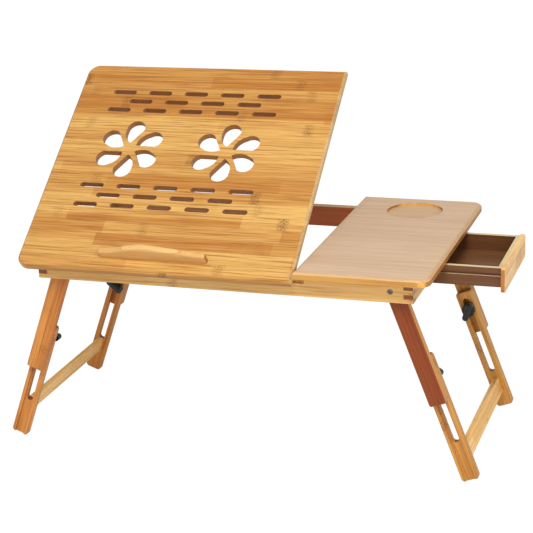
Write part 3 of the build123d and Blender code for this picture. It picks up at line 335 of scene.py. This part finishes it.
# ------------------------------------------------------------------ metal and plastic
def metal(name, color, rough, warp):
    """Bright metal with duller blotches and fine scratches."""
    net = Net(name)
    spot = net.coords.outputs["Object"]
    blotch = net.noise(spot, scale=140.0, detail=3.0, rough=0.6, warp=warp)
    stretch = net.node("ShaderNodeMapping")
    net.put(stretch.inputs["Vector"], spot)
    stretch.inputs["Scale"].default_value = (60.0, 2200.0, 2200.0)
    scratch = net.noise(stretch.outputs[0], rough=0.6)
    base = linear(color)
    net.surface({"Metallic": 1.0, "Roughness": net.math("MULTIPLY_ADD", scratch, 0.22, rough),
                 "Base Color": net.mix(net.smooth(blotch, 0.4, 0.7), base, shade(base, 0.72))})
    net.finish_surface(scratch, 0.2, 0.05 * MM, 0.3 * MM)
    return net.mat


def plastic(name, color):
    """Moulded plastic with a fine grain and paler worn spots."""
    net = Net(name)
    spot = net.coords.outputs["Object"]
    worn = net.noise(spot, scale=90.0, detail=3.0, rough=0.6)
    base = linear(color)
    net.surface({"Base Color": net.mix(net.smooth(worn, 0.5, 0.75), base, shade(base, 2.2, lift=0.006)),
                 "Roughness": net.math("MULTIPLY_ADD", worn, 0.25, 0.3)})
    net.finish_surface(net.noise(spot, scale=1800.0, rough=0.6), 0.25, 0.1 * MM, 0.6 * MM)
    return net.mat


def give(material, *names):
    """Puts one material on the nodes named."""
    for name in names:
        mesh = nodes[name].data
        mesh.materials.clear()
        mesh.materials.append(material)


# ------------------------------------------------------------------ tones: light, dark, fibre, cane mark
HONEY = ("DDAE60", "B4742C", "8E5220", "70400F")
SIDE = ("E9B962", "DDA048", "B9792F", "7E4A1C")
SKIN = ("D8BC9C", "C8A482", "AC8462", "8E6644")
STOP = ("E4B878", "D29E5C", "B67C3E", "8C5A2A")
PALE = ("F0CA86", "D6A050", "A66A28", "74431A")
CROSS = ("EBC788", "CC9A50", "8A4E20", "5A2C10")
PANEL = ("F6CE8A", "E2A858", "B87834", "7E4A1A")
DRAWER_IN_SHADE = ("845632", "66401F", "442611", "261206")
# the drawer box's tones are darkened with painted shade, for its place inside the frame
LEFT_LEG = ("DC9648", "B46828", "864416", "4E240C")
RIGHT_LEG = ("DEA452", "B5742E", "844C1C", "4E2A0E")
STRETCHER = ("F8D088", "E4AC54", "B87630", "804C1E")

# ------------------------------------------------------------------ boards
CUT_MARGIN = 20 * MM
# the wide boards of the tilting board: each one's edge, in metres from the front, and how dark it is
PLANKS = ((0.0, 0.40), (0.044, 0.60), (0.086, 0.15), (0.117, 0.55), (0.155, 0.30), (0.192, 0.28),
          (0.254, 0.95), (0.292, 0.72))
# the walls of the slots through the tilting board get a painted shade, 93592A
give(bamboo("tilt_wood", X, ALONG, TILT_CORNER, HONEY, strip=0.0191, seed=3.0, tone_spread=0.6, marks=0.85,
            streak=0.6, length=0.24, planks=PLANKS, width=DEPTH, faces=((X, "E6C48C", 0.8),),
            cut=(CUT_MARGIN, TILT_WIDTH, DEPTH, "93592A")), "tilt_board")
give(bamboo("side_wood", X, Y, SIDE_CORNER, SIDE, strip=0.02, seed=5.0, tone_spread=0.3,
            faces=((Z, "CFB090", 0.75),)), "side_board")
give(bamboo("skin_wood", X, Y, SIDE_CORNER, SKIN, strip=0.038, seed=9.0, streak=0.34, marks=0.12,
            tone_spread=0.35, gloss=0.4), "side_board_skin")
give(bamboo("stop_wood", X, OUT, TILT_CORNER, STOP, strip=0.009, seed=17.0, marks=0.3, streak=0.3),
     "book_stop")

# ------------------------------------------------------------------ frame
RAIL_STRIPS = {"strip": 0.028, "layer": 0.006}
# the back rail's face toward the front gets a deep red-brown painted shade
painted_shade_inside = (-Y, "A04408", 0.95)
give(bamboo("rail_wood", X, Z, RAIL_CORNER, PALE, seed=11.0, tone_spread=0.4, **RAIL_STRIPS),
     "front_rail", "front_drawer_runner", "rear_drawer_runner")
give(bamboo("back_rail_wood", X, Z, RAIL_CORNER, PALE, seed=12.0, faces=(painted_shade_inside,), **RAIL_STRIPS),
     "back_rail")
give(bamboo("cross_wood", Y, Z, RAIL_CORNER, CROSS, strip=0.014, layer=0.006, seed=13.0),
     "left_side_rail", "right_side_rail_front", "right_side_rail_rear", "centre_rail", "notch_rack",
     "rack_dowels")

# ------------------------------------------------------------------ drawer
# painted light on the top edges of the drawer's walls, and painted shade on the faces of its sides toward
# the front
painted_lit_top_edge = (Z, "EBD5A3", 0.9)
painted_shade_front_side = (-Y, "6E4426", 0.85)
give(bamboo("drawer_long_wood", X, Z, RAIL_CORNER, DRAWER_IN_SHADE, strip=0.013, seed=14.0,
            faces=(painted_lit_top_edge, painted_shade_front_side)), "drawer_side_front", "drawer_side_rear")
give(bamboo("drawer_cross_wood", Y, Z, RAIL_CORNER, DRAWER_IN_SHADE, strip=0.013, seed=15.0, faces=(painted_lit_top_edge,)),
     "drawer_box_front", "drawer_back")
give(bamboo("drawer_floor_wood", X, Y, RAIL_CORNER, DRAWER_IN_SHADE, strip=0.021, seed=18.0, marks=0.3),
     "drawer_bottom")
give(bamboo("panel_wood", Y, Z, RAIL_CORNER, PANEL, strip=0.017, seed=16.0), "drawer_front_panel")

# ------------------------------------------------------------------ legs
# the seeds: one for each end, another for its lower leg, and one less or more for the side
END_SEEDS = {"front": 21.0, "back": 23.0}
PART_SEEDS = {"upper": 0.0, "lower": 4.0}
STRETCHER_SEED = 31.0
LEG_STAINS = {"right_front_upper": ((-Y, "8A380E", 0.95),)}
for side, way, pivot, tones in (("left", -1, LEFT_PIVOT, LEFT_LEG), ("right", 1, RIGHT_PIVOT, RIGHT_LEG)):
    down = Vector((way * math.sin(LEAN), 0, -math.cos(LEAN)))
    for end, end_seed in END_SEEDS.items():
        for part, part_seed in PART_SEEDS.items():
            name = "%s_%s_%s" % (side, end, part)
            wood = bamboo(name + "_wood", down, Y, pivot, tones, strip=0.012, layer=0.0115,
                          seed=end_seed + part_seed + way, faces=LEG_STAINS.get(name, ()))
            give(wood, name + "_leg")
        give(plastic("%s_%s_knob_plastic" % (side, end), "0C0E0D"), "%s_%s_knob" % (side, end))
        give(metal("%s_%s_insert_brass" % (side, end), "D8B468", rough=0.25, warp=0.3),
             "%s_%s_knob_insert" % (side, end))
    give(bamboo(side + "_stretcher_wood", Y, down, pivot, STRETCHER, strip=0.011, seed=STRETCHER_SEED + way),
         side + "_stretcher")

# ------------------------------------------------------------------ hardware
give(metal("zinc", "C9CCCF", rough=0.22, warp=0.0),
     "hinge_board_leaves", "hinge_board_screws", "hinge_pins", "hinge_rail_leaves", "hinge_rail_screws",
     "book_stop_screws", "drawer_screws", "leg_pivot_bolts", "left_clamp_studs", "left_clamp_washers",
     "right_clamp_studs", "right_clamp_washers", "prop_bracket_screws", "prop_brackets", "tilt_prop")
give(metal("dark_zinc", "7C7A76", rough=0.3, warp=0.0), "leg_pivot_nuts")

# ------------------------------------------------------------------ floor
FLOOR_SIZE = 12
FLOOR_DROP = 0.5 * MM
FLOOR_GREY = 0.9
FLOOR_GLOW = 1.08
GLOW_SHARE = 0.88
WHITE = (1, 1, 1, 1)

bpy.ops.mesh.primitive_plane_add(size=FLOOR_SIZE, location=(0, 0, -FLOOR_DROP))
floor = bpy.context.object
floor.name = "floor"
net = Net("floor_white")
net.surface({"Base Color": (FLOOR_GREY, FLOOR_GREY, FLOOR_GREY, 1), "Roughness": 0.9})
# the camera sees the floor glow nearly white, and all other rays meet a pale matt one
rays = net.node("ShaderNodeLightPath")
glow = net.node("ShaderNodeEmission")
glow.inputs["Strength"].default_value = FLOOR_GLOW
glow_share = net.times(rays.outputs["Is Camera Ray"], GLOW_SHARE)
seen = net.mix_shaders(glow_share, net.shader.outputs[0], glow.outputs[0])
# the floor shows only from above, so that a view from below shows the underside
back_face = net.node("ShaderNodeNewGeometry").outputs["Backfacing"]
clear = net.node("ShaderNodeBsdfTransparent")
seen = net.mix_shaders(back_face, seen, clear.outputs[0])
net.put(net.tree.nodes["Material Output"].inputs["Surface"], seen)
floor.data.materials.append(net.mat)

# ------------------------------------------------------------------ light
WORLD_LIGHT = 0.6
LAMP_TARGET = Vector((0, 0, 0.25))

world = bpy.data.worlds.new("world")
bpy.context.scene.world = world
world.use_nodes = True
tree = world.node_tree
background = tree.nodes["Background"]
background.inputs["Color"].default_value = WHITE
background.inputs["Strength"].default_value = WORLD_LIGHT
white = tree.nodes.new("ShaderNodeBackground")
white.inputs["Color"].default_value = WHITE
paths = tree.nodes.new("ShaderNodeLightPath")
choose = tree.nodes.new("ShaderNodeMixShader")
tree.links.new(paths.outputs["Is Camera Ray"], choose.inputs[0])
tree.links.new(background.outputs[0], choose.inputs[1])
tree.links.new(white.outputs[0], choose.inputs[2])
tree.links.new(choose.outputs[0], tree.nodes["World Output"].inputs["Surface"])


def lamp(name, place, size, power):
    """A round soft light that shines on the table."""
    data = bpy.data.lights.new(name, "AREA")
    data.shape = "DISK"
    data.size = size
    data.energy = power
    item = bpy.data.objects.new(name, data)
    bpy.context.collection.objects.link(item)
    item.location = place
    item.rotation_euler = (LAMP_TARGET - Vector(place)).to_track_quat("-Z", "Y").to_euler()


lamp("key", place=(0.25, -1.5, 2.1), size=1.0, power=36)
lamp("fill", place=(1.9, -1.2, 0.9), size=1.6, power=12)

# ------------------------------------------------------------------ camera
# fitted to the photo: turned to the left and down, rolled, and placed from the side board's corner
YAW = math.radians(19.07)
PITCH = math.radians(18.24)
ROLL = math.radians(-2.37)
LENS = 105.75
SENSOR = 36
CAMERA_PLACE = (X_SIDE + 0.55926, Y_FRONT - 1.70853, Z_TOP + 0.60143)

forward = Vector((-math.sin(YAW) * math.cos(PITCH), math.cos(YAW) * math.cos(PITCH), -math.sin(PITCH)))
level = Vector((math.cos(YAW), math.sin(YAW), 0))
upward = level.cross(forward)
camera_right = math.cos(ROLL) * level + math.sin(ROLL) * upward
camera_up = -math.sin(ROLL) * level + math.cos(ROLL) * upward
data = bpy.data.cameras.new("camera")
data.lens = LENS
data.sensor_width = SENSOR
camera = bpy.data.objects.new("camera", data)
bpy.context.collection.objects.link(camera)
matrix = Matrix((camera_right, camera_up, -forward)).transposed().to_4x4()
matrix.translation = Vector(CAMERA_PLACE)
camera.matrix_world = matrix
scene = bpy.context.scene
scene.camera = camera
scene.view_settings.view_transform = "Standard"
scene.view_settings.look = "None"
